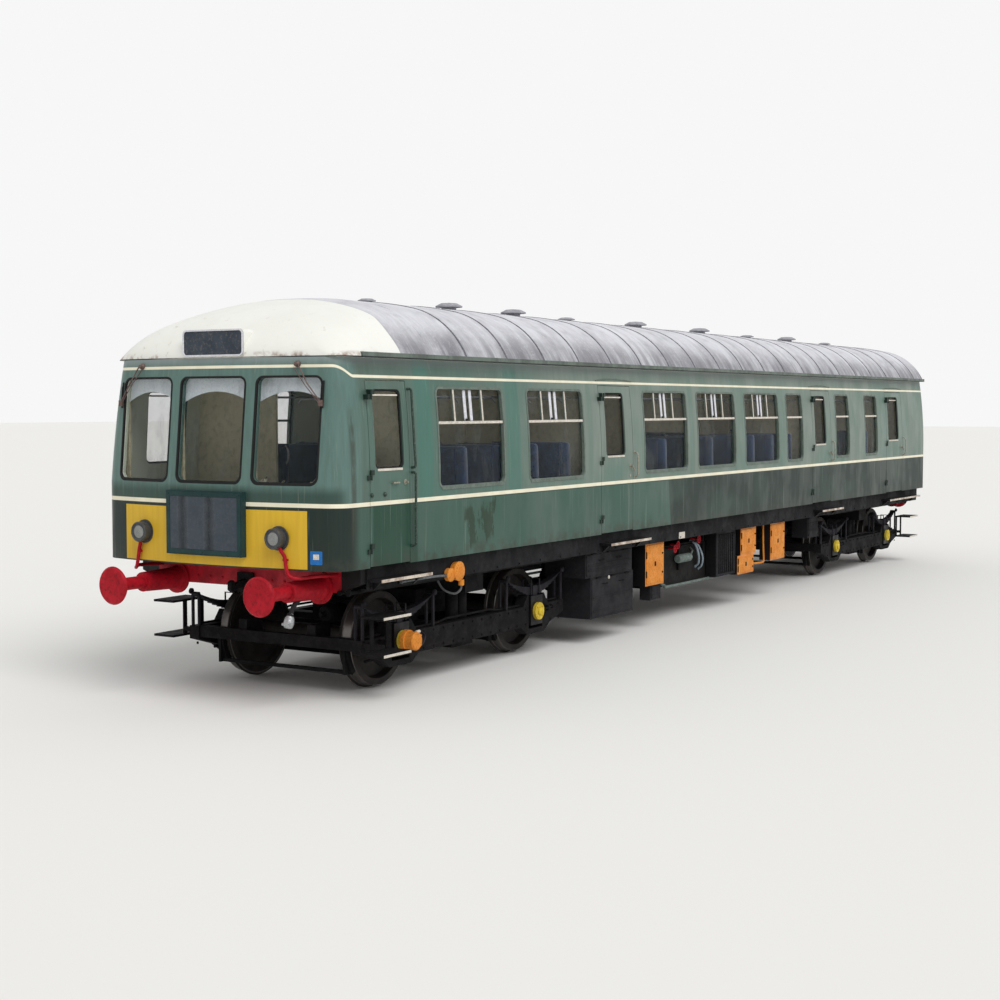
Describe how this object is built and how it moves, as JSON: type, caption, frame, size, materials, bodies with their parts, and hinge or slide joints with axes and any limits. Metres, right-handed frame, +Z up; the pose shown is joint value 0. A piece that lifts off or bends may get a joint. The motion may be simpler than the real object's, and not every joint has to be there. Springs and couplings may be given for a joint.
{
  "type": "diesel railcar driving power car",
  "caption": "Bogie passenger railcar with a bowed driving cab, domed roof, slam doors, glazed saloons, leaf-sprung bogies and underfloor engines.",
  "frame": {"origin": "middle of the outline over buffers, at the lowest point of the wheel flanges", "axes": "X along the car with the cab at -X, Y across, Z up"},
  "size_m": [18.016, 2.98, 3.875],
  "materials": {
    "body_paint": "faded gloss green, streaked, with two cream lines",
    "dome_paint": "off-white paint with small rust stains",
    "roof_paint": "weathered mottled grey",
    "underframe_black": "dull black with brake dust",
    "headstock_red": "red gloss paint, worn",
    "equipment_black": "dull black, oily",
    "equipment_orange": "orange gloss paint, chipped",
    "engine_metal": "oily cast iron",
    "wheel_steel": "brown rail dust over steel, bright treads",
    "glass": "clear, slightly dusty",
    "seat_cloth": "blue moquette",
    "cab_lining": "painted board",
    "floor_lino": "worn linoleum",
    "gangway_rubber": "black rubberised cloth and steel",
    "window_alloy": "dull weathered alloy",
    "handrail_metal": "worn pale grey paint over steel",
    "lamp_case": "grey enamel"
  },
  "bodies": {
    "car_body": {"air_reservoirs": "equipment_black", "battery_box": "equipment_black", "buffers": "headstock_red", "cab_desk": "cab_lining", "cab_dome": "dome_paint", "cab_front": "body_paint", "control_boxes": "equipment_orange", "couplings": "headstock_red", "cross_members": "underframe_black", "destination_box": "dome_paint", "engines": "engine_metal", "floor": "floor_lino", "fuel_tank": "equipment_black", "gangway": "gangway_rubber", "glazing": "glass", "grab_rails": "handrail_metal", "headstocks": "headstock_red", "longitudinal_beams": "underframe_black", "marker_lamps": "lamp_case", "radiators": "equipment_black", "rear_wall": "body_paint", "roof": "roof_paint", "roof_vents": "roof_paint", "route_box": "body_paint", "screens": "cab_lining", "seat_backs": "seat_cloth", "seat_cushions": "seat_cloth", "seat_legs": "cab_lining", "side_far": "body_paint", "side_near": "body_paint", "step_boards": "underframe_black", "window_frames": "window_alloy"},
    "bogie_front": {"bogie_frame_front": "underframe_black", "bogie_bolster_front": "underframe_black", "axleboxes_front": "underframe_black", "leaf_springs_front": "underframe_black", "bogie_steps_front": "underframe_black", "brake_gear_front": "underframe_black", "axle_generator": "equipment_orange"},
    "bogie_rear": {"bogie_frame_rear": "underframe_black", "bogie_bolster_rear": "underframe_black", "axleboxes_rear": "underframe_black", "leaf_springs_rear": "underframe_black", "bogie_steps_rear": "underframe_black", "brake_gear_rear": "underframe_black"},
    "wheelset_1": {"wheelset_1": "wheel_steel"},
    "wheelset_2": {"wheelset_2": "wheel_steel"},
    "wheelset_3": {"wheelset_3": "wheel_steel"},
    "wheelset_4": {"wheelset_4": "wheel_steel"},
    "cab_door_near": {"cab_door_near": "body_paint"},
    "cab_door_far": {"cab_door_far": "body_paint"},
    "front_door_near": {"front_door_near": "body_paint"},
    "front_door_far": {"front_door_far": "body_paint"},
    "middle_door_near": {"middle_door_near": "body_paint"},
    "middle_door_far": {"middle_door_far": "body_paint"},
    "rear_door_near": {"rear_door_near": "body_paint"},
    "rear_door_far": {"rear_door_far": "body_paint"}
  },
  "joints": [
    {"name": "bogie_swivel_front", "type": "hinge", "parent": "car_body", "child": "bogie_front", "pos_m": [-5.838, 0, 1], "axis": [0, 0, 1], "range_deg": [-4, 4]},
    {"name": "bogie_swivel_rear", "type": "hinge", "parent": "car_body", "child": "bogie_rear", "pos_m": [6.352, 0, 1], "axis": [0, 0, 1], "range_deg": [-4, 4]},
    {"name": "wheelset_1_roll", "type": "hinge", "parent": "bogie_front", "child": "wheelset_1", "pos_m": [-7.133, 0, 0.485], "axis": [0, 1, 0], "continuous": true},
    {"name": "wheelset_2_roll", "type": "hinge", "parent": "bogie_front", "child": "wheelset_2", "pos_m": [-4.543, 0, 0.485], "axis": [0, 1, 0], "continuous": true},
    {"name": "wheelset_3_roll", "type": "hinge", "parent": "bogie_rear", "child": "wheelset_3", "pos_m": [5.057, 0, 0.485], "axis": [0, 1, 0], "continuous": true},
    {"name": "wheelset_4_roll", "type": "hinge", "parent": "bogie_rear", "child": "wheelset_4", "pos_m": [7.647, 0, 0.485], "axis": [0, 1, 0], "continuous": true},
    {"name": "cab_door_near_hinge", "type": "hinge", "parent": "car_body", "child": "cab_door_near", "pos_m": [-8.098, -1.424, 2.1], "axis": [0, 0, -1], "range_deg": [0, 88]},
    {"name": "cab_door_far_hinge", "type": "hinge", "parent": "car_body", "child": "cab_door_far", "pos_m": [-8.098, 1.424, 2.1], "axis": [0, 0, 1], "range_deg": [0, 88]},
    {"name": "front_door_near_hinge", "type": "hinge", "parent": "car_body", "child": "front_door_near", "pos_m": [-3.658, -1.424, 2.1], "axis": [0, 0, -1], "range_deg": [0, 88]},
    {"name": "front_door_far_hinge", "type": "hinge", "parent": "car_body", "child": "front_door_far", "pos_m": [-3.658, 1.424, 2.1], "axis": [0, 0, 1], "range_deg": [0, 88]},
    {"name": "middle_door_near_hinge", "type": "hinge", "parent": "car_body", "child": "middle_door_near", "pos_m": [3.092, -1.424, 2.1], "axis": [0, 0, -1], "range_deg": [0, 88]},
    {"name": "middle_door_far_hinge", "type": "hinge", "parent": "car_body", "child": "middle_door_far", "pos_m": [3.092, 1.424, 2.1], "axis": [0, 0, 1], "range_deg": [0, 88]},
    {"name": "rear_door_near_hinge", "type": "hinge", "parent": "car_body", "child": "rear_door_near", "pos_m": [6.572, -1.424, 2.1], "axis": [0, 0, -1], "range_deg": [0, 88]},
    {"name": "rear_door_far_hinge", "type": "hinge", "parent": "car_body", "child": "rear_door_far", "pos_m": [6.572, 1.424, 2.1], "axis": [0, 0, 1], "range_deg": [0, 88]}
  ]
}
